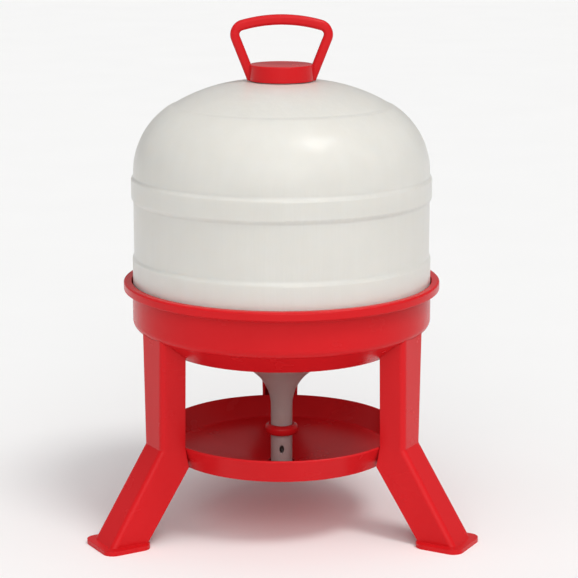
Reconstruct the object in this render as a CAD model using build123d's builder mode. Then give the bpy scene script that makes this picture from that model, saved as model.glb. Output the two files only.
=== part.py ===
from build123d import *
from math import acos, asin, atan2, cos, degrees, hypot, isclose, radians, sin, sqrt, tan
import os

# Poultry waterer fount: a domed water tank that stands in a ring on three legs and
# feeds a drinking tray through a turn-to-close valve at the foot of its down tube.
# Millimetres. +Z is up, the floor is z = 0, the tank's axis is the Z axis, and the
# valve's port faces -Y. The third leg stands at +Y.

os.makedirs("parts", exist_ok=True)

# ---------------------------------------------------------------- driving dimensions
# Tank (blow-moulded, one wall all over)
tank_r = 190.8            # outer radius of the plain body
tank_wall = 3.0
seat_z = 265.0            # height at which the tank rests in the ring
skirt_inset = 2.8         # the skirt inside the ring is this much smaller than the body
skirt_corner_r = 5.0
skirt_height = 41.5       # seat to the start of the widening to the lower band
skirt_step = 8.0          # height of that widening
lower_band_rise = 2.1
lower_band_top = 93.5     # above the seat
upper_band_rise = 2.7
upper_band_height = 36.0
upper_band_drop = 0.9     # top of the upper band below the shoulder
band_step = 7.5           # height over which a band blends into the body
shoulder_height = 197.4   # seat to the start of the dome's shoulder
shoulder_radius = 99.7    # arc from the body into the dome
shoulder_angle = 57.2
crown_offset = 30.2       # centre of the crown's flatter arc is this far off the axis
crown_step = 1.0          # the crown is sunk this much inside the shoulder
crown_step_run = 8.0
landing_margin = 4.7      # flat landing beyond the cap's edge

# Filler neck and cap
neck_r = 36.5
neck_wall = 3.2
neck_height = 16.2
thread_pitch = 6.0
thread_depth_neck = 1.8
thread_depth_cap = 2.0
thread_gap = 1.0          # neck crest to cap wall
thread_root = 3.0         # width of a thread ridge at its root
thread_crest = 1.6
thread_bury = 0.4         # a ridge starts this far inside its wall
thread_lead = 0.8         # cap's edge to its thread
neck_turns = 1.25
cap_turns = 1.5
cap_wall = 2.0
cap_top = 3.0
cap_crown = 1.8           # the cap's top is domed by this much
cap_lift_gap = 1.2        # cap's lower edge above the dome's landing
cap_edge_r = 1.4
gasket_thick = 2.5
gasket_lip = 2.3          # gasket reaches this far inside the neck's bore

# Handle loop, one moulding with the cap
handle_height = 62.8      # cap's top to the crown of the loop
handle_bar = 13.0         # thickness of the top bar in the loop's plane
handle_arm = 12.0         # and of the arms
handle_depth = 14.0       # across its plane
handle_arch_r = 190.0
handle_foot_proud = 2.4   # loop beyond the cap's side at the cap's lower edge
handle_lean = 21.6        # arms lean outward by this angle
handle_corner_r = 19.0
handle_inner_r = 5.5
handle_edge_r = 4.5
handle_spare = 8.0        # the loop is drawn this far below the cap's edge, then trimmed

# Down tube and valve
tube_r = 14.2
tube_length = 29.4        # from the funnel down to the spigot's shoulder
funnel_height = 115.0     # from the seat down to the straight tube
funnel_radius = 60.0      # arc from the tube into the tank's floor
floor_land = 11.0         # funnel's edge inside the skirt
spigot_wall = 4.5
spigot_floor = 2.5
sleeve_wall = 3.0
sleeve_gap = 0.3          # running clearance over the spigot and the tube
sleeve_floor = 2.5
sleeve_end_gap = 0.6      # spigot's end to the sleeve's floor
sleeve_tail = 14.0        # lower O-ring to the sleeve's foot
sleeve_chamfer = 1.0
port_drop = 26.9          # spigot's shoulder to the middle of the port
port_half_width = 3.2
port_half_height = 5.5
o_ring_section = 2.2
o_ring_squeeze_gap = 0.05
o_ring_groove_gap = 0.2
o_ring_offset = 12.2      # each O-ring lies this far above or below the port
bead_rise = 0.9           # ring that the collar snaps over
bead_width = 1.0
bead_lift = 1.6           # bead above the spigot's shoulder
collar_proud = 7.9        # collar beyond the tube
collar_drop = 8.1         # collar's lower face below the spigot's shoulder
collar_lift = 4.9         # and its upper face above it
collar_round = 5.5

# Support ring
ring_wall = 3.2
ring_gap = 2.4            # tank skirt to ring wall
mouth_gap = 1.8           # tank's lower band to the ring's mouth
mouth_start = 41.0        # seat to the start of the flare into the mouth
mouth_jog = 1.5           # outside of the flare starts this much higher than the inside
rim_width = 10.3
rim_height = 57.7         # seat to the top of the rim
rim_lip = 10.9            # depth of the turned-down lip
rim_round = 2.6
lip_wall = 3.0
seat_width = 12.9
seat_round = 2.0
crease_inset = 9.6        # lower edge of the wall, where the cone starts
crease_drop = 4.7         # below the seat
crease_round = 11.5
wall_foot_rise = 2.2      # slope of the small land outside the crease
cone_run = 32.0           # cone inward from the crease
cone_foot_drop = 30.6     # below the seat
cone_foot_round = 3.0
ring_flange = 10.0        # level flange inside the cone
ring_edge_round = 1.0

# Legs
leg_azimuths = {"leg_left": -150.0, "leg_right": -30.0, "leg_rear": 90.0}
leg_inset = 2.5           # outer face inside the ring's wall
leg_depth = 34.1          # outer face to the inner edges of the side walls
leg_top_width = 57.0
leg_knee_width = 48.5
leg_foot_width = 52.0
leg_splay = 72.9          # foot beyond the upright part
leg_knee_rise = 0.6       # knee above the tray's rim
leg_inner_knee_run = 5.3  # inner knee outside the tray's foot
leg_inner_knee_rise = 4.1 # and above it
leg_corner_r = 7.0
leg_wall = 3.6
leg_spare = 5.0           # legs are drawn this far above the seat, then trimmed
foot_depth = 51.2
foot_thick = 6.0
foot_lip = 10.0
foot_lip_inner = 3.0
foot_corner_r = 14.0
rib_thick = 3.0
rib_count = 2             # level ribs above the tray's shelf

# Drinking tray
tray_rim_inset = 32.5     # rim inside the legs' outer faces
tray_rim_rise = 28.0      # rim above the middle of the port
tray_flare = 11.6         # rim outside the foot
tray_depth = 30.1         # rim above the foot
tray_rim_thick = 4.0
tray_rim_round = 1.8
tray_floor = 3.2
tray_inner_foot_inset = 6.5
tray_inner_foot_rise = 2.9
tray_inner_foot_round = 3.0
tray_fall = 19.5          # floor's fall from its edge to the centre
tray_edge_round = 1.0
well_gap = 2.8            # round the foot of the sleeve
well_depth = 8.0
tray_gap = 0.3            # tray to the notches in the legs

# Fastenings
screw_clearance = 0.2
leg_screw_r = 2.4
leg_screw_length = 24.0
leg_screw_head_r = 4.8
leg_screw_reach = 6.0     # screw outside the leg's inner edge
leg_screw_edge = 9.0      # screw inside the leg's side
pad_r = 6.6
pad_drop = 12.0           # pad's face below the seat
leg_boss_r = 5.7
leg_boss_length = 38.0
countersink = 90.0
tray_screw_r = 1.9
tray_screw_length = 12.0
tray_screw_head_r = 4.0
tray_screw_head = 2.4
lug_rise = 5.4            # lug above the tray's foot
lug_thick = 4.0
lug_width = 26.0
lug_corner_r = 3.0
lug_bury = 1.5            # lug starts this far inside the tray's foot
lug_reach = 12.5          # and ends this far outside the leg's inner edge
lug_screw_reach = 5.0
lug_boss_r = 5.0
lug_boss_height = 8.0

# ---------------------------------------------------------------- derived sizes
skirt_r = tank_r - skirt_inset
lower_band_r = tank_r + lower_band_rise
upper_band_r = tank_r + upper_band_rise
ring_bore_r = skirt_r + ring_gap
ring_r = ring_bore_r + ring_wall
mouth_r = lower_band_r + mouth_gap
mouth_step = mouth_r - ring_bore_r
mouth_foot_z = seat_z + mouth_start
rim_r = mouth_r + rim_width
rim_z = seat_z + rim_height
lip_foot_z = rim_z - rim_lip
seat_inner_r = ring_bore_r - seat_width
crease_r = ring_r - crease_inset
crease_z = seat_z - crease_drop
cone_foot_r = crease_r - cone_run
cone_foot_z = seat_z - cone_foot_drop
cone_slope = (crease_z - cone_foot_z) / cone_run
cone_wall = ring_wall * sqrt(1 + cone_slope**2)
ring_hole_r = cone_foot_r - ring_flange

cap_bore_r = neck_r + thread_depth_neck + thread_gap
cap_r = cap_bore_r + cap_wall
landing_r = cap_r + landing_margin
shoulder_centre = (tank_r - shoulder_radius, seat_z + shoulder_height)
crown_radius = shoulder_radius + (shoulder_centre[0] - crown_offset) / cos(radians(shoulder_angle))
crown_centre = (
    crown_offset,
    shoulder_centre[1] - (crown_radius - shoulder_radius) * sin(radians(shoulder_angle)),
)
landing_z = crown_centre[1] + sqrt((crown_radius - crown_step) ** 2 - (landing_r - crown_offset) ** 2)
neck_top_z = landing_z + neck_height
cap_bottom_z = landing_z + cap_lift_gap
cap_ceiling_z = neck_top_z + gasket_thick
cap_top_z = cap_ceiling_z + cap_top
cap_thread_z = cap_bottom_z + thread_root / 2 + thread_lead
neck_thread_z = cap_thread_z + thread_pitch / 2

tube_top_z = seat_z - funnel_height
floor_r = skirt_r - floor_land
funnel_centre = (tube_r + funnel_radius, tube_top_z)
funnel_run = floor_r - funnel_centre[0]
funnel_angle = degrees(
    atan2(funnel_run, funnel_height) + asin(funnel_radius / hypot(funnel_run, funnel_height))
)
spigot_top_z = tube_top_z - tube_length
port_z = spigot_top_z - port_drop
sleeve_bore_r = tube_r - sleeve_wall
spigot_r = sleeve_bore_r - sleeve_gap
spigot_bore_r = spigot_r - spigot_wall
sleeve_bottom_z = port_z - o_ring_offset - sleeve_tail
spigot_bottom_z = sleeve_bottom_z + sleeve_floor + sleeve_end_gap
o_ring_centre_r = sleeve_bore_r - o_ring_squeeze_gap - o_ring_section / 2
groove_r = o_ring_centre_r - o_ring_section / 2
groove_width = o_ring_section + 2 * o_ring_groove_gap
bead_z = spigot_top_z + bead_lift
collar_r = tube_r + collar_proud
collar_bottom_z = spigot_top_z - collar_drop
collar_top_z = spigot_top_z + collar_lift

leg_face_r = ring_r - leg_inset
leg_inner_r = leg_face_r - leg_depth
tray_rim_r = leg_face_r - tray_rim_inset
tray_foot_r = tray_rim_r - tray_flare
tray_inner_foot_r = tray_foot_r - tray_inner_foot_inset
tray_rim_z = port_z + tray_rim_rise
tray_foot_z = tray_rim_z - tray_depth
tray_inner_foot_z = tray_foot_z + tray_inner_foot_rise
tray_centre_z = tray_inner_foot_z - tray_fall
well_r = tube_r + well_gap
well_z = tray_centre_z - well_depth

leg_top_z = seat_z + leg_spare
leg_knee_z = tray_rim_z + leg_knee_rise
leg_inner_knee = (tray_foot_r + leg_inner_knee_run, tray_foot_z + leg_inner_knee_rise)
foot_outer_r = leg_face_r + leg_splay
foot_inner_r = foot_outer_r - foot_depth
splay_slope = leg_splay / (leg_knee_z - foot_thick)

pad_z = seat_z - pad_drop
leg_screw_radius = leg_inner_r + leg_screw_reach
leg_screw_offset = leg_top_width / 2 - leg_screw_edge
lug_z = tray_foot_z + lug_rise
lug_inner_r = tray_foot_r - lug_bury
lug_length = leg_inner_r + lug_reach - lug_inner_r
lug_screw_radius = leg_inner_r + lug_screw_reach
shelf_z = lug_z - rib_thick
rib_spacing = (cone_foot_z - lug_z) / (rib_count + 1)
rib_heights = [(foot_thick + shelf_z) / 2, shelf_z]
rib_heights += [lug_z + rib_spacing * step for step in range(1, rib_count + 1)]


def radial(azimuth):
    """Unit vector that points outward at this azimuth."""
    return Vector(cos(radians(azimuth)), sin(radians(azimuth)), 0)


def tangential(azimuth):
    """Unit vector along the ring at this azimuth."""
    return Vector(-sin(radians(azimuth)), cos(radians(azimuth)), 0)


def side_plane(azimuth):
    """Upright plane through the axis: x is outward and y is up."""
    return Plane((0, 0, 0), x_dir=radial(azimuth), z_dir=tangential(azimuth) * -1)


def front_plane(azimuth):
    """Upright plane across the axis: x runs along the ring and y is up."""
    return Plane((0, 0, 0), x_dir=tangential(azimuth), z_dir=radial(azimuth))


def level_plane(azimuth, height):
    """Level plane whose x points outward at this azimuth."""
    return Plane((0, 0, height), x_dir=radial(azimuth), z_dir=(0, 0, 1))


def blend_step(start, end, heading=(0, 1)):
    """Two equal tangent arcs that carry an outline from start to end."""
    middle = ((start[0] + end[0]) / 2, (start[1] + end[1]) / 2)
    first = TangentArc(start, middle, tangent=heading)
    TangentArc(middle, end, tangent=first % 1)


def tank_outline(inset):
    """The tank's outline from the tube up to the landing, moved in by inset."""
    funnel = CenterArc(funnel_centre, funnel_radius + inset, 180, -funnel_angle)
    funnel_end = funnel @ 1
    floor_z = seat_z + inset
    floor_edge = (funnel_end.X + (floor_z - funnel_end.Y) * tan(radians(funnel_angle)), floor_z)
    Line(funnel_end, floor_edge)
    Line(floor_edge, (skirt_r - skirt_corner_r, floor_z))
    CenterArc(
        (skirt_r - skirt_corner_r, seat_z + skirt_corner_r), skirt_corner_r - inset, -90, 90
    )
    upper_band_top = shoulder_height - upper_band_drop
    upper_band_bottom = upper_band_top - upper_band_height
    stations = [
        (skirt_r, skirt_corner_r),
        (skirt_r, skirt_height),
        (lower_band_r, skirt_height + skirt_step),
        (lower_band_r, lower_band_top - band_step),
        (tank_r, lower_band_top),
        (tank_r, upper_band_bottom),
        (upper_band_r, upper_band_bottom + band_step),
        (upper_band_r, upper_band_top - band_step),
        (tank_r, upper_band_top),
        (tank_r, shoulder_height),
    ]
    points = [(r - inset, seat_z + height) for r, height in stations]
    for start, end in zip(points, points[1:]):
        if start[0] == end[0]:
            Line(start, end)
        else:
            blend_step(start, end)
    shoulder = CenterArc(shoulder_centre, shoulder_radius - inset, 0, shoulder_angle)
    crown = crown_radius - crown_step - inset
    crown_start = shoulder_angle + degrees(crown_step_run / crown_radius)
    crown_end = degrees(acos((landing_r - crown_offset) / crown))
    crown_point = (
        crown_centre[0] + crown * cos(radians(crown_start)),
        crown_centre[1] + crown * sin(radians(crown_start)),
    )
    shoulder_end = shoulder @ 1
    blend_step((shoulder_end.X, shoulder_end.Y), crown_point, heading=shoulder % 1)
    CenterArc(crown_centre, crown, crown_start, crown_end - crown_start)
    return crown_centre[1] + crown * sin(radians(crown_end))


def ring_underside():
    """The ring's outer outline from its hole up to the foot of the flared mouth."""
    FilletPolyline(
        (ring_hole_r, cone_foot_z),
        (cone_foot_r, cone_foot_z),
        (crease_r, crease_z),
        (ring_r, crease_z + wall_foot_rise),
        (ring_r, mouth_foot_z + mouth_jog),
        radius=[cone_foot_round, 0, crease_round],
    )


def thread_ridge(start_z, root_r, depth, turns):
    """One helical ridge that starts on +X; depth is negative for an inside thread."""
    height = thread_pitch * turns
    with BuildPart() as ridge:
        with BuildLine():
            path = Helix(thread_pitch, height, root_r, center=(0, 0, start_z))
        heading = path % 0
        with BuildSketch(Plane(path @ 0, x_dir=(1, 0, 0), z_dir=heading)):
            buried = thread_bury if depth > 0 else -thread_bury
            Polygon(
                (-buried, -thread_root / 2),
                (0, -thread_root / 2),
                (depth, -thread_crest / 2),
                (depth, thread_crest / 2),
                (0, thread_root / 2),
                (-buried, thread_root / 2),
                align=None,
            )
        sweep(path=path, is_frenet=True)
    return ridge.part


def port_cutter(reach):
    """Oval bar that cuts the valve's port through the side that faces -Y."""
    with BuildPart() as cutter:
        with BuildSketch(Plane.XZ):
            with Locations((0, port_z)):
                Ellipse(port_half_width, port_half_height)
        extrude(amount=reach)
    return cutter.part


# ---------------------------------------------------------------- tank
with BuildPart() as reservoir:
    with BuildSketch(Plane.XZ):
        with BuildLine():
            outer_landing = tank_outline(0)
            Polyline(
                (landing_r, outer_landing),
                (neck_r, outer_landing),
                (neck_r, neck_top_z),
                (neck_r - neck_wall, neck_top_z),
                (neck_r - neck_wall, outer_landing - tank_wall),
            )
            inner_landing = tank_outline(tank_wall)
            Polyline(
                (neck_r - neck_wall, outer_landing - tank_wall),
                (neck_r - neck_wall, inner_landing),
                (landing_r, inner_landing),
            )
            Polyline(
                (tube_r - tank_wall, tube_top_z),
                (tube_r - tank_wall, spigot_top_z + tank_wall),
                (spigot_bore_r, spigot_top_z),
                (spigot_bore_r, spigot_bottom_z + spigot_floor),
                (0, spigot_bottom_z + spigot_floor),
                (0, spigot_bottom_z),
                (spigot_r, spigot_bottom_z),
                (spigot_r, spigot_top_z),
                (tube_r, spigot_top_z),
                (tube_r, bead_z - bead_rise),
                (tube_r + bead_rise, bead_z),
                (tube_r + bead_rise, bead_z + bead_width),
                (tube_r, bead_z + bead_width + bead_rise),
                (tube_r, tube_top_z),
            )
        make_face()
    revolve(axis=Axis.Z)
    with BuildSketch(Plane.XZ):
        for side in (-1, 1):
            with Locations((spigot_r, port_z + side * o_ring_offset)):
                Rectangle(2 * (spigot_r - groove_r), groove_width)
    revolve(axis=Axis.Z, mode=Mode.SUBTRACT)
    add(port_cutter(tube_r), mode=Mode.SUBTRACT)
    add(thread_ridge(neck_thread_z, neck_r, thread_depth_neck, neck_turns))
reservoir.part.label = "reservoir"
export_step(reservoir.part, "parts/reservoir.step")

# ---------------------------------------------------------------- filler cap and handle
arch_centre_z = cap_top_z + handle_height - handle_arch_r
lean = tan(radians(handle_lean))


def loop_shape(inset_arm, inset_arch, foot_z, corner, depth):
    """Trapezoid that widens upward under a round arch, moved in by the two insets."""
    top_z = cap_top_z + handle_height
    foot = cap_r + handle_foot_proud - inset_arm / cos(radians(handle_lean))
    low = foot + (foot_z - cap_bottom_z) * lean
    high = foot + (top_z - cap_bottom_z) * lean
    with BuildSketch(Plane.XZ.offset(-depth / 2)) as shape:
        Polygon((-low, foot_z), (low, foot_z), (high, top_z), (-high, top_z), align=None)
        with Locations((0, arch_centre_z)):
            Circle(handle_arch_r - inset_arch, mode=Mode.INTERSECT)
        fillet(shape.vertices().group_by(Axis.Y)[-1], corner)
    return shape.sketch


with BuildPart() as handle_loop:
    loop_foot_z = cap_bottom_z - handle_spare
    loop = loop_shape(0, 0, loop_foot_z, handle_corner_r, handle_depth)
    extrude(loop, amount=handle_depth)
    window = loop_shape(
        handle_arm, handle_bar, loop_foot_z - handle_spare, handle_inner_r, 2 * handle_depth
    )
    extrude(window, amount=2 * handle_depth, mode=Mode.SUBTRACT)
    fillet(handle_loop.faces().filter_by(Axis.Y).edges(), handle_edge_r)
    with BuildSketch(Plane.XY.offset(cap_bottom_z)):
        Rectangle(4 * cap_r, 2 * handle_depth)
    extrude(amount=-2 * handle_spare, mode=Mode.SUBTRACT)

with BuildPart() as filler_cap:
    with BuildSketch(Plane.XZ) as cap_section:
        with BuildLine():
            crown_arc = SagittaArc((-cap_r, cap_top_z), (cap_r, cap_top_z), -cap_crown)
            Polyline(
                crown_arc @ 0,
                (-cap_r, cap_bottom_z),
                (cap_r, cap_bottom_z),
                crown_arc @ 1,
            )
        make_face()
        fillet(cap_section.vertices().group_by(Axis.Y)[-1], cap_edge_r)
        split(bisect_by=Plane.YZ)
    revolve(axis=Axis.Z)
    add(handle_loop.part)
    with BuildSketch(Plane.XY.offset(cap_bottom_z - handle_spare)):
        Circle(cap_bore_r)
    extrude(amount=cap_ceiling_z - cap_bottom_z + handle_spare, mode=Mode.SUBTRACT)
    add(thread_ridge(cap_thread_z, cap_bore_r, -thread_depth_cap, cap_turns))
filler_cap.part.label = "filler_cap"
export_step(filler_cap.part, "parts/filler_cap.step")

with BuildPart() as cap_gasket:
    with BuildSketch(Plane.XY.offset(neck_top_z)):
        Circle(neck_r + thread_depth_neck)
        Circle(neck_r - neck_wall - gasket_lip, mode=Mode.SUBTRACT)
    extrude(amount=gasket_thick)
cap_gasket.part.label = "cap_gasket"
export_step(cap_gasket.part, "parts/cap_gasket.step")

# ---------------------------------------------------------------- valve
with BuildPart() as valve_sleeve:
    with BuildSketch(Plane.XY.offset(sleeve_bottom_z)):
        Circle(tube_r)
    extrude(amount=spigot_top_z - sleeve_gap - sleeve_bottom_z)
    chamfer(valve_sleeve.edges().group_by(Axis.Z)[0], sleeve_chamfer)
    with BuildSketch(Plane.XY.offset(sleeve_bottom_z + sleeve_floor)):
        Circle(sleeve_bore_r)
    extrude(amount=spigot_top_z - sleeve_bottom_z, mode=Mode.SUBTRACT)
    add(port_cutter(2 * tube_r), mode=Mode.SUBTRACT)
valve_sleeve.part.label = "valve_sleeve"
export_step(valve_sleeve.part, "parts/valve_sleeve.step")

with BuildPart() as valve_collar:
    with BuildSketch(Plane.XZ) as collar_section:
        with Locations((tube_r, collar_bottom_z)):
            Rectangle(collar_proud, collar_drop + collar_lift, align=(Align.MIN, Align.MIN))
        fillet(collar_section.vertices().group_by(Axis.X)[-1], collar_round)
    revolve(axis=Axis.Z)
    with BuildSketch(Plane.XZ):
        # running clearance over the tube, and the groove that snaps over its bead
        Polygon(
            (0, spigot_top_z - sleeve_gap),
            (tube_r + sleeve_gap, spigot_top_z - sleeve_gap),
            (tube_r + sleeve_gap, bead_z - bead_rise - sleeve_gap),
            (tube_r + bead_rise + sleeve_gap, bead_z - sleeve_gap),
            (tube_r + bead_rise + sleeve_gap, bead_z + bead_width + sleeve_gap),
            (tube_r + sleeve_gap, bead_z + bead_width + bead_rise + sleeve_gap),
            (tube_r + sleeve_gap, collar_top_z),
            (0, collar_top_z),
            align=None,
        )
    revolve(axis=Axis.Z, mode=Mode.SUBTRACT)
valve_collar.part.label = "valve_collar"
export_step(valve_collar.part, "parts/valve_collar.step")


o_ring_heights = {
    "valve_o_ring_upper": port_z + o_ring_offset,
    "valve_o_ring_lower": port_z - o_ring_offset,
}
for label, height in o_ring_heights.items():
    with BuildPart() as o_ring:
        with BuildSketch(Plane.XZ):
            with Locations((o_ring_centre_r, height)):
                Circle(o_ring_section / 2)
        revolve(axis=Axis.Z)
    o_ring.part.label = label
    export_step(o_ring.part, f"parts/{label}.step")

# ---------------------------------------------------------------- support ring
screw_points = [
    radial(azimuth) * leg_screw_radius + tangential(azimuth) * (side * leg_screw_offset)
    for azimuth in leg_azimuths.values()
    for side in (-1, 1)
]

with BuildPart() as ring_envelope:
    with BuildSketch(Plane.XZ):
        with BuildLine():
            ring_underside()
            Polyline(
                (ring_r, mouth_foot_z + mouth_jog),
                (0, mouth_foot_z + mouth_jog),
                (0, cone_foot_z),
                (ring_hole_r, cone_foot_z),
            )
        make_face()
    revolve(axis=Axis.Z)

with BuildPart() as screw_pads:
    with BuildSketch(Plane.XY.offset(pad_z)):
        with Locations(*screw_points):
            Circle(pad_r)
    extrude(amount=cone_foot_z - pad_z)
    add(ring_envelope.part, mode=Mode.INTERSECT)

with BuildPart() as support_ring:
    with BuildSketch(Plane.XZ):
        with BuildLine():
            ring_underside()
            FilletPolyline(
                (ring_r, mouth_foot_z + mouth_jog),
                (ring_r + mouth_step, mouth_foot_z + mouth_jog + mouth_step),
                (ring_r + mouth_step, rim_z - lip_wall),
                (rim_r - lip_wall, rim_z - lip_wall),
                (rim_r - lip_wall, lip_foot_z),
                (rim_r, lip_foot_z),
                (rim_r, rim_z),
                (mouth_r, rim_z),
                (mouth_r, mouth_foot_z + mouth_step),
                (ring_bore_r, mouth_foot_z),
                (ring_bore_r, seat_z),
                (seat_inner_r, seat_z),
                (seat_inner_r, cone_foot_z + cone_wall + cone_slope * (seat_inner_r - cone_foot_r)),
                (cone_foot_r, cone_foot_z + cone_wall),
                (ring_hole_r, cone_foot_z + cone_wall),
                (ring_hole_r, cone_foot_z),
                radius=[0, 0]
                + [ring_edge_round] * 3
                + [rim_round]
                + [ring_edge_round] * 3
                + [seat_round, ring_edge_round, 0, cone_foot_round, ring_edge_round],
            )
        make_face()
    revolve(axis=Axis.Z)
    with BuildSketch(Plane.XY.offset(pad_z)):
        with Locations(*screw_points):
            Circle(pad_r)
    extrude(amount=seat_z - pad_z, mode=Mode.SUBTRACT)
    add(screw_pads.part)
    with Locations(Plane.XY.offset(pad_z)):
        with Locations(*screw_points):
            CounterSinkHole(
                leg_screw_r + screw_clearance,
                leg_screw_head_r + screw_clearance,
                depth=cone_foot_drop,
                counter_sink_angle=countersink,
            )
support_ring.part.label = "support_ring"
export_step(support_ring.part, "parts/support_ring.step")

# ---------------------------------------------------------------- drinking tray
with BuildPart() as drinking_tray:
    with BuildSketch(Plane.XZ):
        with BuildLine():
            FilletPolyline(
                (0, well_z - tray_floor),
                (well_r + tray_floor, well_z - tray_floor),
                (well_r + tray_floor, tray_centre_z - tray_floor),
                (tray_inner_foot_r, tray_inner_foot_z - tray_floor),
                (tray_foot_r, tray_foot_z),
                (tray_rim_r, tray_rim_z),
                (tray_rim_r - tray_rim_thick, tray_rim_z),
                (tray_inner_foot_r, tray_inner_foot_z),
                (well_r, tray_centre_z),
                (well_r, well_z),
                (0, well_z),
                radius=[tray_edge_round, tray_edge_round, 0, tray_edge_round]
                + [tray_rim_round, tray_rim_round, tray_inner_foot_round]
                + [tray_edge_round, tray_edge_round],
            )
            Line((0, well_z), (0, well_z - tray_floor))
        make_face()
    revolve(axis=Axis.Z)
    for azimuth in leg_azimuths.values():
        with BuildSketch(level_plane(azimuth, lug_z)):
            with Locations((lug_inner_r + lug_length / 2, 0)):
                RectangleRounded(lug_length, lug_width, lug_corner_r)
        extrude(amount=lug_thick)
        with BuildSketch(level_plane(azimuth, lug_z)):
            with Locations((lug_screw_radius, 0)):
                Circle(lug_boss_r)
        extrude(amount=lug_thick + lug_boss_height)
        with BuildSketch(level_plane(azimuth, lug_z)):
            with Locations((lug_screw_radius, 0)):
                Circle(tray_screw_r)
        extrude(amount=tray_screw_length - rib_thick, mode=Mode.SUBTRACT)
drinking_tray.part.label = "drinking_tray"
export_step(drinking_tray.part, "parts/drinking_tray.step")

with BuildPart() as tray_envelope:
    with BuildSketch(Plane.XZ):
        Polygon(
            (0, tray_foot_z - tray_gap),
            (tray_foot_r + tray_gap, tray_foot_z - tray_gap),
            (tray_rim_r + tray_gap, tray_rim_z - tray_gap),
            (tray_rim_r + tray_gap, tray_rim_z + tray_gap),
            (0, tray_rim_z + tray_gap),
            align=None,
        )
    revolve(axis=Axis.Z)

# ---------------------------------------------------------------- legs
def width_profile(wall):
    """Half widths of the leg at its top, knee and foot, moved in by a wall."""
    stations = [
        (leg_top_width, leg_top_z),
        (leg_knee_width, leg_knee_z),
        (leg_foot_width, 0),
    ]
    right = [(width / 2 - wall, height) for width, height in stations]
    left = [(-half, height) for half, height in reversed(right)]
    return right + left


def outer_line(inset):
    """Outer side of the leg from the top to the foot plate, moved in by inset."""
    sloped = inset * sqrt(1 + splay_slope**2)
    knee = leg_knee_z - (sloped - inset) / splay_slope
    return [
        (leg_face_r - inset, leg_top_z),
        (leg_face_r - inset, knee),
        (foot_outer_r - sloped, foot_thick),
    ]


def is_outer_corner(edge, azimuth):
    """True for the long edges where the outer faces meet the side faces."""
    centre = edge.center()
    outward = centre.dot(radial(azimuth))
    across = abs(centre.dot(tangential(azimuth)))
    face_r = leg_face_r + max(0, leg_knee_z - centre.Z) * splay_slope
    return isclose(outward, face_r, abs_tol=0.1) and across > leg_corner_r


def build_leg(azimuth):
    """One leg: a channel that opens toward the axis, ribbed, with a flanged foot."""
    with BuildPart() as hollow:
        with BuildSketch(side_plane(azimuth)):
            outline = outer_line(leg_wall)
            Polygon(
                *outline,
                (tray_foot_r / 2, foot_thick),
                (tray_foot_r / 2, leg_top_z),
                align=None,
            )
        extrude(amount=leg_top_width, both=True)
        with BuildSketch(front_plane(azimuth)):
            Polygon(*width_profile(leg_wall), align=None)
        extrude(amount=2 * foot_outer_r, mode=Mode.INTERSECT)
        for height in rib_heights:
            with BuildSketch(level_plane(azimuth, height)):
                Rectangle(4 * foot_outer_r, 2 * leg_top_width)
            extrude(amount=rib_thick, mode=Mode.SUBTRACT)
        for side in (-1, 1):
            with BuildSketch(level_plane(azimuth, leg_top_z)):
                with Locations((leg_screw_radius, side * leg_screw_offset)):
                    Circle(leg_boss_r)
            extrude(amount=-leg_boss_length, mode=Mode.SUBTRACT)
    with BuildPart() as leg:
        with BuildSketch(side_plane(azimuth)):
            Polygon(
                *outer_line(0),
                (foot_outer_r, 0),
                (foot_inner_r, 0),
                (foot_inner_r, foot_thick),
                leg_inner_knee,
                (leg_inner_r, tray_rim_z),
                (leg_inner_r, leg_top_z),
                align=None,
            )
        extrude(amount=leg_top_width, both=True)
        with BuildSketch(front_plane(azimuth)):
            Polygon(*width_profile(0), align=None)
        extrude(amount=2 * foot_outer_r, mode=Mode.INTERSECT)
        corners = leg.edges().filter_by(lambda edge: is_outer_corner(edge, azimuth))
        fillet(corners, leg_corner_r)
        add(hollow.part, mode=Mode.SUBTRACT)
        foot_length = foot_outer_r + foot_lip - foot_inner_r + foot_lip_inner
        with BuildSketch(level_plane(azimuth, 0)):
            with Locations((foot_outer_r + foot_lip - foot_length / 2, 0)):
                RectangleRounded(foot_length, leg_foot_width + 2 * foot_lip, foot_corner_r)
        extrude(amount=foot_thick)
        add(ring_envelope.part, mode=Mode.SUBTRACT)
        add(tray_envelope.part, mode=Mode.SUBTRACT)
        with BuildSketch(level_plane(azimuth, pad_z - leg_screw_length)):
            for side in (-1, 1):
                with Locations((leg_screw_radius, side * leg_screw_offset)):
                    Circle(leg_screw_r)
        extrude(amount=leg_screw_length, mode=Mode.SUBTRACT)
        with BuildSketch(level_plane(azimuth, lug_z)):
            with Locations((lug_screw_radius, 0)):
                Circle(tray_screw_r + screw_clearance)
        extrude(amount=-rib_thick, mode=Mode.SUBTRACT)
    return leg


for label, azimuth in leg_azimuths.items():
    leg = build_leg(azimuth)
    leg.part.label = label
    export_step(leg.part, f"parts/{label}.step")

# ---------------------------------------------------------------- fastenings
with BuildPart() as leg_screws:
    with BuildSketch(Plane.XY.offset(pad_z)):
        with Locations(*screw_points):
            Circle(leg_screw_r)
    extrude(amount=-leg_screw_length)
    with BuildSketch(Plane.XY.offset(pad_z)):
        with Locations(*screw_points):
            Circle(leg_screw_head_r)
    extrude(amount=-(leg_screw_head_r - leg_screw_r), taper=countersink / 2)
leg_screws.part.label = "leg_screws"
export_step(leg_screws.part, "parts/leg_screws.step")

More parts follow.
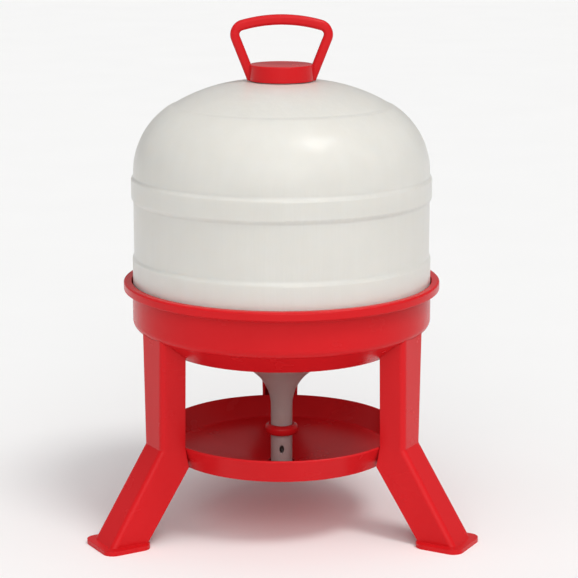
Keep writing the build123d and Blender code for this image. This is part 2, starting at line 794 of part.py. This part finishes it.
with BuildPart() as tray_screws:
    for azimuth in leg_azimuths.values():
        with BuildSketch(level_plane(azimuth, shelf_z)):
            with Locations((lug_screw_radius, 0)):
                Circle(tray_screw_head_r)
        extrude(amount=-tray_screw_head)
        with BuildSketch(level_plane(azimuth, shelf_z)):
            with Locations((lug_screw_radius, 0)):
                Circle(tray_screw_r)
        extrude(amount=tray_screw_length)
tray_screws.part.label = "tray_screws"
export_step(tray_screws.part, "parts/tray_screws.step")
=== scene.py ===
"""Poultry waterer fount: materials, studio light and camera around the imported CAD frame."""
import math

import bpy
from mathutils import Euler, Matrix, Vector


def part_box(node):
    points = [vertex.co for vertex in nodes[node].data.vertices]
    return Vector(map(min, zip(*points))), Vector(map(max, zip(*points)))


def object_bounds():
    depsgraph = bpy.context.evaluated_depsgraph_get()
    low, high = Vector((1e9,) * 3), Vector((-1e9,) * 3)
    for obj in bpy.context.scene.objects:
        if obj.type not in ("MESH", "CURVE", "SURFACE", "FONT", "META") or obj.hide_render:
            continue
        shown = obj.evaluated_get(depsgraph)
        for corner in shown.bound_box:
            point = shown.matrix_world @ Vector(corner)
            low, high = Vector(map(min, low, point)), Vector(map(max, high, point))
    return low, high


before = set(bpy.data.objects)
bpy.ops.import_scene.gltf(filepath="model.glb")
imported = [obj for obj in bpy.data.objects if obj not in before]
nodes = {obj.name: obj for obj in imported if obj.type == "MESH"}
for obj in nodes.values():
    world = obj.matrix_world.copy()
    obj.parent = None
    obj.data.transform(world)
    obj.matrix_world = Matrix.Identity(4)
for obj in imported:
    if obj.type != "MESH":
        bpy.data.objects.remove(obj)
cad_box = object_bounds()

RED_NODES = (
    "filler_cap",
    "valve_collar",
    "support_ring",
    "leg_left",
    "leg_right",
    "leg_rear",
    "drinking_tray",
)

# Camera: where it stands in metres, measured from the object's axis at the floor, and its
# angles in degrees
CAMERA_DISTANCE = 2.4663
CAMERA_HEIGHT = 0.8464
CAMERA_AZIMUTH = 0.8       # left of the front
CAMERA_PITCH = 12.33       # looking down
CAMERA_LENS = 120.6        # millimetres
CAMERA_SHIFT = 0.0128      # of the frame's width

# Distant lights: elevation, angle to the right of the front and spread in degrees, then
# strength and colour
SUNS = {
    "key": (62.0, 44.0, 18.0, 0.95, (1.0, 0.985, 0.96)),
    "overhead": (60.0, 8.0, 85.0, 1.33, (1.0, 0.99, 0.97)),
    "front": (20.0, 0.0, 50.0, 0.78, (1.0, 0.99, 0.97)),
}
ROOM_STRENGTH = 0.34
ROOM_COLOUR = (0.97, 0.985, 1.0)
FLOOR_SIZE = 60.0          # metres, past the edges of the camera's view
EDGE_SAMPLES = 6           # rays that look for a moulding's edge

# Colours: most finishes mottle between the two of a pair
RED_COLOURS = ((0.56, 0.009, 0.012), (0.62, 0.012, 0.016))
TANK_COLOURS = ((0.71, 0.675, 0.62), (0.75, 0.715, 0.66))
TANK_STREAK_COLOUR = (0.68, 0.645, 0.59)
# Funnel and tube colour: partly the plastic's own grey, partly painted shade with a painted red
# bounce light
FUNNEL_GREY_AND_SHADE_COLOUR = (0.43, 0.335, 0.32)
VALVE_COLOURS = ((0.40, 0.335, 0.325), (0.46, 0.395, 0.38))
RUBBER_COLOURS = ((0.018, 0.018, 0.019), (0.05, 0.048, 0.047))
STEEL_COLOURS = ((0.50, 0.50, 0.52), (0.66, 0.65, 0.62))
FLOOR_COLOURS = ((0.90, 0.90, 0.905), (0.91, 0.91, 0.915))

FUNNEL_GREY_AND_SHADE_DEPTH = 0.19        # from the tank's lowest point up to where it turns greyer, partly its plastic's own grey and partly painted shade
FUNNEL_GREY_AND_SHADE_FADE = 0.03         # height over which it does


# ---------------------------------------------------------------- node helpers
def new_material(name):
    """A new material, its node tree, and the Principled shader wired to its output."""
    material = bpy.data.materials.new(name)
    material.use_nodes = True
    tree = material.node_tree
    tree.nodes.clear()
    output = tree.nodes.new("ShaderNodeOutputMaterial")
    shader = tree.nodes.new("ShaderNodeBsdfPrincipled")
    tree.links.new(shader.outputs["BSDF"], output.inputs["Surface"])
    return material, tree, shader


def object_space(tree, stretch=(1.0, 1.0, 1.0)):
    """Object coordinates in metres, scaled along each axis."""
    place = tree.nodes.new("ShaderNodeTexCoord")
    mapping = tree.nodes.new("ShaderNodeMapping")
    mapping.inputs["Scale"].default_value = stretch
    tree.links.new(place.outputs["Object"], mapping.inputs["Vector"])
    return mapping.outputs["Vector"]


def noise(tree, vector, scale, detail=3.0):
    """Noise from 0 to 1 at about this many waves per metre."""
    node = tree.nodes.new("ShaderNodeTexNoise")
    node.inputs["Scale"].default_value = scale
    node.inputs["Detail"].default_value = detail
    tree.links.new(vector, node.inputs["Vector"])
    return node.outputs["Fac"]


def remap(tree, value, low, high, start=0.3, end=0.7):
    """The value, carried from the range start to end to the range low to high."""
    node = tree.nodes.new("ShaderNodeMapRange")
    node.inputs["From Min"].default_value = start
    node.inputs["From Max"].default_value = end
    node.inputs["To Min"].default_value = low
    node.inputs["To Max"].default_value = high
    tree.links.new(value, node.inputs["Value"])
    return node.outputs["Result"]


def mix_colours(tree, factor, first, second):
    """Colour between first and second; either is a colour or another node's socket."""
    node = tree.nodes.new("ShaderNodeMix")
    node.data_type = "RGBA"
    tree.links.new(factor, node.inputs["Factor"])
    for socket, colour in (("A", first), ("B", second)):
        target = [s for s in node.inputs if s.name == socket and s.type == "RGBA"][0]
        if isinstance(colour, tuple):
            target.default_value = (*colour, 1.0)
        else:
            tree.links.new(colour, target)
    return [s for s in node.outputs if s.type == "RGBA"][0]


def height_above_floor(tree):
    """Height in metres of the point shaded, with its piece at rest."""
    parts = tree.nodes.new("ShaderNodeSeparateXYZ")
    tree.links.new(object_space(tree), parts.inputs["Vector"])
    return parts.outputs["Z"]


def bump(tree, height, depth, normal=None):
    """Bump of this depth in metres, on top of another normal."""
    node = tree.nodes.new("ShaderNodeBump")
    node.inputs["Strength"].default_value = 1.0
    node.inputs["Distance"].default_value = depth
    tree.links.new(height, node.inputs["Height"])
    if normal is not None:
        tree.links.new(normal, node.inputs["Normal"])
    return node.outputs["Normal"]


def soft_edges(tree, radius):
    """Normal that rounds the sharp edges of a moulding to this radius in metres."""
    node = tree.nodes.new("ShaderNodeBevel")
    node.samples = EDGE_SAMPLES
    node.inputs["Radius"].default_value = radius
    return node.outputs["Normal"]


# ---------------------------------------------------------------- materials
def red_plastic():
    """Semi-gloss moulded polypropylene: faint flow mottling, fine grain and duller rubs."""
    material, tree, shader = new_material("red_plastic")
    flow = noise(tree, object_space(tree, (1.0, 1.0, 0.35)), scale=9.0, detail=4.0)
    grain = noise(tree, object_space(tree), scale=1500.0, detail=2.0)
    rubs = noise(tree, object_space(tree, (1.0, 1.0, 1.5)), scale=22.0)
    colour = mix_colours(tree, remap(tree, flow, 0.0, 1.0), *RED_COLOURS)
    tree.links.new(colour, shader.inputs["Base Color"])
    tree.links.new(remap(tree, rubs, 0.23, 0.28), shader.inputs["Roughness"])
    shader.inputs["Specular IOR Level"].default_value = 0.13
    normal = bump(tree, grain, depth=0.00002, normal=soft_edges(tree, radius=0.0008))
    tree.links.new(normal, shader.inputs["Normal"])
    return material


def tank_plastic():
    """Milky polyethylene that light soaks into, with the cloudiness of a blown wall; greyer low
    down, partly its own grey and partly painted shade.
    """
    material, tree, shader = new_material("tank_hdpe")
    cloud = noise(tree, object_space(tree, (1.0, 1.0, 1.6)), scale=7.0)
    draw = noise(tree, object_space(tree, (1.0, 1.0, 0.08)), scale=60.0, detail=4.0)
    grain = noise(tree, object_space(tree), scale=900.0, detail=2.0)
    colour = mix_colours(tree, remap(tree, cloud, 0.0, 1.0), *TANK_COLOURS)
    colour = mix_colours(tree, remap(tree, draw, 0.0, 0.25), colour, TANK_STREAK_COLOUR)
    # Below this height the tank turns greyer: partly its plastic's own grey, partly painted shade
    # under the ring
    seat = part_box("reservoir")[0][2] + FUNNEL_GREY_AND_SHADE_DEPTH
    funnel_grey_and_shade = remap(tree, height_above_floor(tree), 1.0, 0.0, start=seat - FUNNEL_GREY_AND_SHADE_FADE, end=seat)
    colour = mix_colours(tree, funnel_grey_and_shade, colour, FUNNEL_GREY_AND_SHADE_COLOUR)
    tree.links.new(colour, shader.inputs["Base Color"])
    tree.links.new(remap(tree, cloud, 0.30, 0.33, start=0.0, end=1.0), shader.inputs["Roughness"])
    shader.inputs["Specular IOR Level"].default_value = 0.4
    shader.inputs["Subsurface Weight"].default_value = 0.8
    shader.inputs["Subsurface Radius"].default_value = (1.0, 0.86, 0.75)
    shader.inputs["Subsurface Scale"].default_value = 0.010
    normal = bump(tree, draw, depth=0.0006)
    normal = bump(tree, grain, depth=0.00003, normal=normal)
    tree.links.new(normal, shader.inputs["Normal"])
    return material


def valve_plastic():
    """Grey translucent moulding of the turning sleeve."""
    material, tree, shader = new_material("valve_plastic")
    cloud = noise(tree, object_space(tree), scale=40.0)
    grain = noise(tree, object_space(tree), scale=1400.0, detail=2.0)
    colour = mix_colours(tree, remap(tree, cloud, 0.0, 1.0), *VALVE_COLOURS)
    tree.links.new(colour, shader.inputs["Base Color"])
    tree.links.new(remap(tree, cloud, 0.34, 0.44), shader.inputs["Roughness"])
    shader.inputs["Subsurface Weight"].default_value = 0.4
    shader.inputs["Subsurface Radius"].default_value = (1.0, 0.85, 0.8)
    shader.inputs["Subsurface Scale"].default_value = 0.004
    normal = bump(tree, grain, depth=0.00004, normal=soft_edges(tree, radius=0.0005))
    tree.links.new(normal, shader.inputs["Normal"])
    return material


def seal_rubber():
    """Matt black rubber with a bloom of pale dust."""
    material, tree, shader = new_material("seal_rubber")
    dust = noise(tree, object_space(tree), scale=220.0, detail=5.0)
    colour = mix_colours(tree, remap(tree, dust, 0.0, 1.0), *RUBBER_COLOURS)
    tree.links.new(colour, shader.inputs["Base Color"])
    tree.links.new(remap(tree, dust, 0.6, 0.82), shader.inputs["Roughness"])
    tree.links.new(bump(tree, dust, depth=0.00005), shader.inputs["Normal"])
    return material


def screw_steel():
    """Zinc-plated steel with a faint turned grain."""
    material, tree, shader = new_material("screw_steel")
    plating = noise(tree, object_space(tree), scale=300.0, detail=4.0)
    turned = noise(tree, object_space(tree, (0.2, 0.2, 1.0)), scale=4000.0, detail=2.0)
    colour = mix_colours(tree, remap(tree, plating, 0.0, 1.0), *STEEL_COLOURS)
    tree.links.new(colour, shader.inputs["Base Color"])
    shader.inputs["Metallic"].default_value = 1.0
    tree.links.new(remap(tree, plating, 0.25, 0.45), shader.inputs["Roughness"])
    tree.links.new(bump(tree, turned, depth=0.00002), shader.inputs["Normal"])
    return material


def dress(names, material):
    """Gives CAD nodes this material in every slot."""
    for name in names:
        mesh = nodes[name].data
        if not mesh.materials:
            mesh.materials.append(material)
        for slot in range(len(mesh.materials)):
            mesh.materials[slot] = material


dress(RED_NODES, red_plastic())
dress(("reservoir",), tank_plastic())
dress(("valve_sleeve",), valve_plastic())
dress(("cap_gasket", "valve_o_ring_upper", "valve_o_ring_lower"), seal_rubber())
dress(("leg_screws", "tray_screws"), screw_steel())


# ---------------------------------------------------------------- studio
def floor_material():
    """Matt white paper with a barely visible tooth."""
    material, tree, shader = new_material("studio_floor")
    tooth = noise(tree, object_space(tree), scale=3.0, detail=2.0)
    colour = mix_colours(tree, remap(tree, tooth, 0.0, 1.0), *FLOOR_COLOURS)
    tree.links.new(colour, shader.inputs["Base Color"])
    shader.inputs["Roughness"].default_value = 0.9
    shader.inputs["Specular IOR Level"].default_value = 0.1
    return material


def build_floor():
    """A floor at the height of the feet, larger than the camera's view of it."""
    half = FLOOR_SIZE / 2
    z = cad_box[0][2]
    mesh = bpy.data.meshes.new("studio_floor")
    corners = [(-half, -half, z), (half, -half, z), (half, half, z), (-half, half, z)]
    mesh.from_pydata(corners, [], [(0, 1, 2, 3)])
    mesh.materials.append(floor_material())
    floor = bpy.data.objects.new("studio_floor", mesh)
    bpy.context.scene.collection.objects.link(floor)


def add_sun(name, elevation, azimuth, spread, strength, colour):
    """A distant light from this height and this far right of the front, all in degrees."""
    light = bpy.data.lights.new(name, "SUN")
    light.energy = strength
    light.angle = math.radians(spread)
    light.color = colour
    sun = bpy.data.objects.new(name, light)
    tilt = math.radians(90.0 - elevation)
    sun.rotation_euler = Euler((tilt, 0.0, math.radians(azimuth)), "XYZ")
    bpy.context.scene.collection.objects.link(sun)


def build_lights():
    """The distant lights, and an even room light from all round."""
    for name, settings in SUNS.items():
        add_sun(name, *settings)
    world = bpy.data.worlds.new("room")
    world.use_nodes = True
    room = world.node_tree.nodes["Background"]
    room.inputs["Color"].default_value = (*ROOM_COLOUR, 1.0)
    room.inputs["Strength"].default_value = ROOM_STRENGTH
    bpy.context.scene.world = world


def build_camera():
    """A long lens in front of the object that looks down on it."""
    camera_data = bpy.data.cameras.new("camera")
    camera_data.lens = CAMERA_LENS
    camera_data.shift_x = CAMERA_SHIFT
    camera_data.clip_end = 2 * FLOOR_SIZE
    camera = bpy.data.objects.new("camera", camera_data)
    turn = math.radians(CAMERA_AZIMUTH)
    camera.location = Vector(
        (-CAMERA_DISTANCE * math.sin(turn), -CAMERA_DISTANCE * math.cos(turn), CAMERA_HEIGHT)
    )
    camera.rotation_euler = Euler((math.radians(90.0 - CAMERA_PITCH), 0.0, -turn), "XYZ")
    bpy.context.scene.collection.objects.link(camera)
    bpy.context.scene.camera = camera


build_floor()
build_lights()
build_camera()
bpy.context.scene.view_settings.view_transform = "Standard"
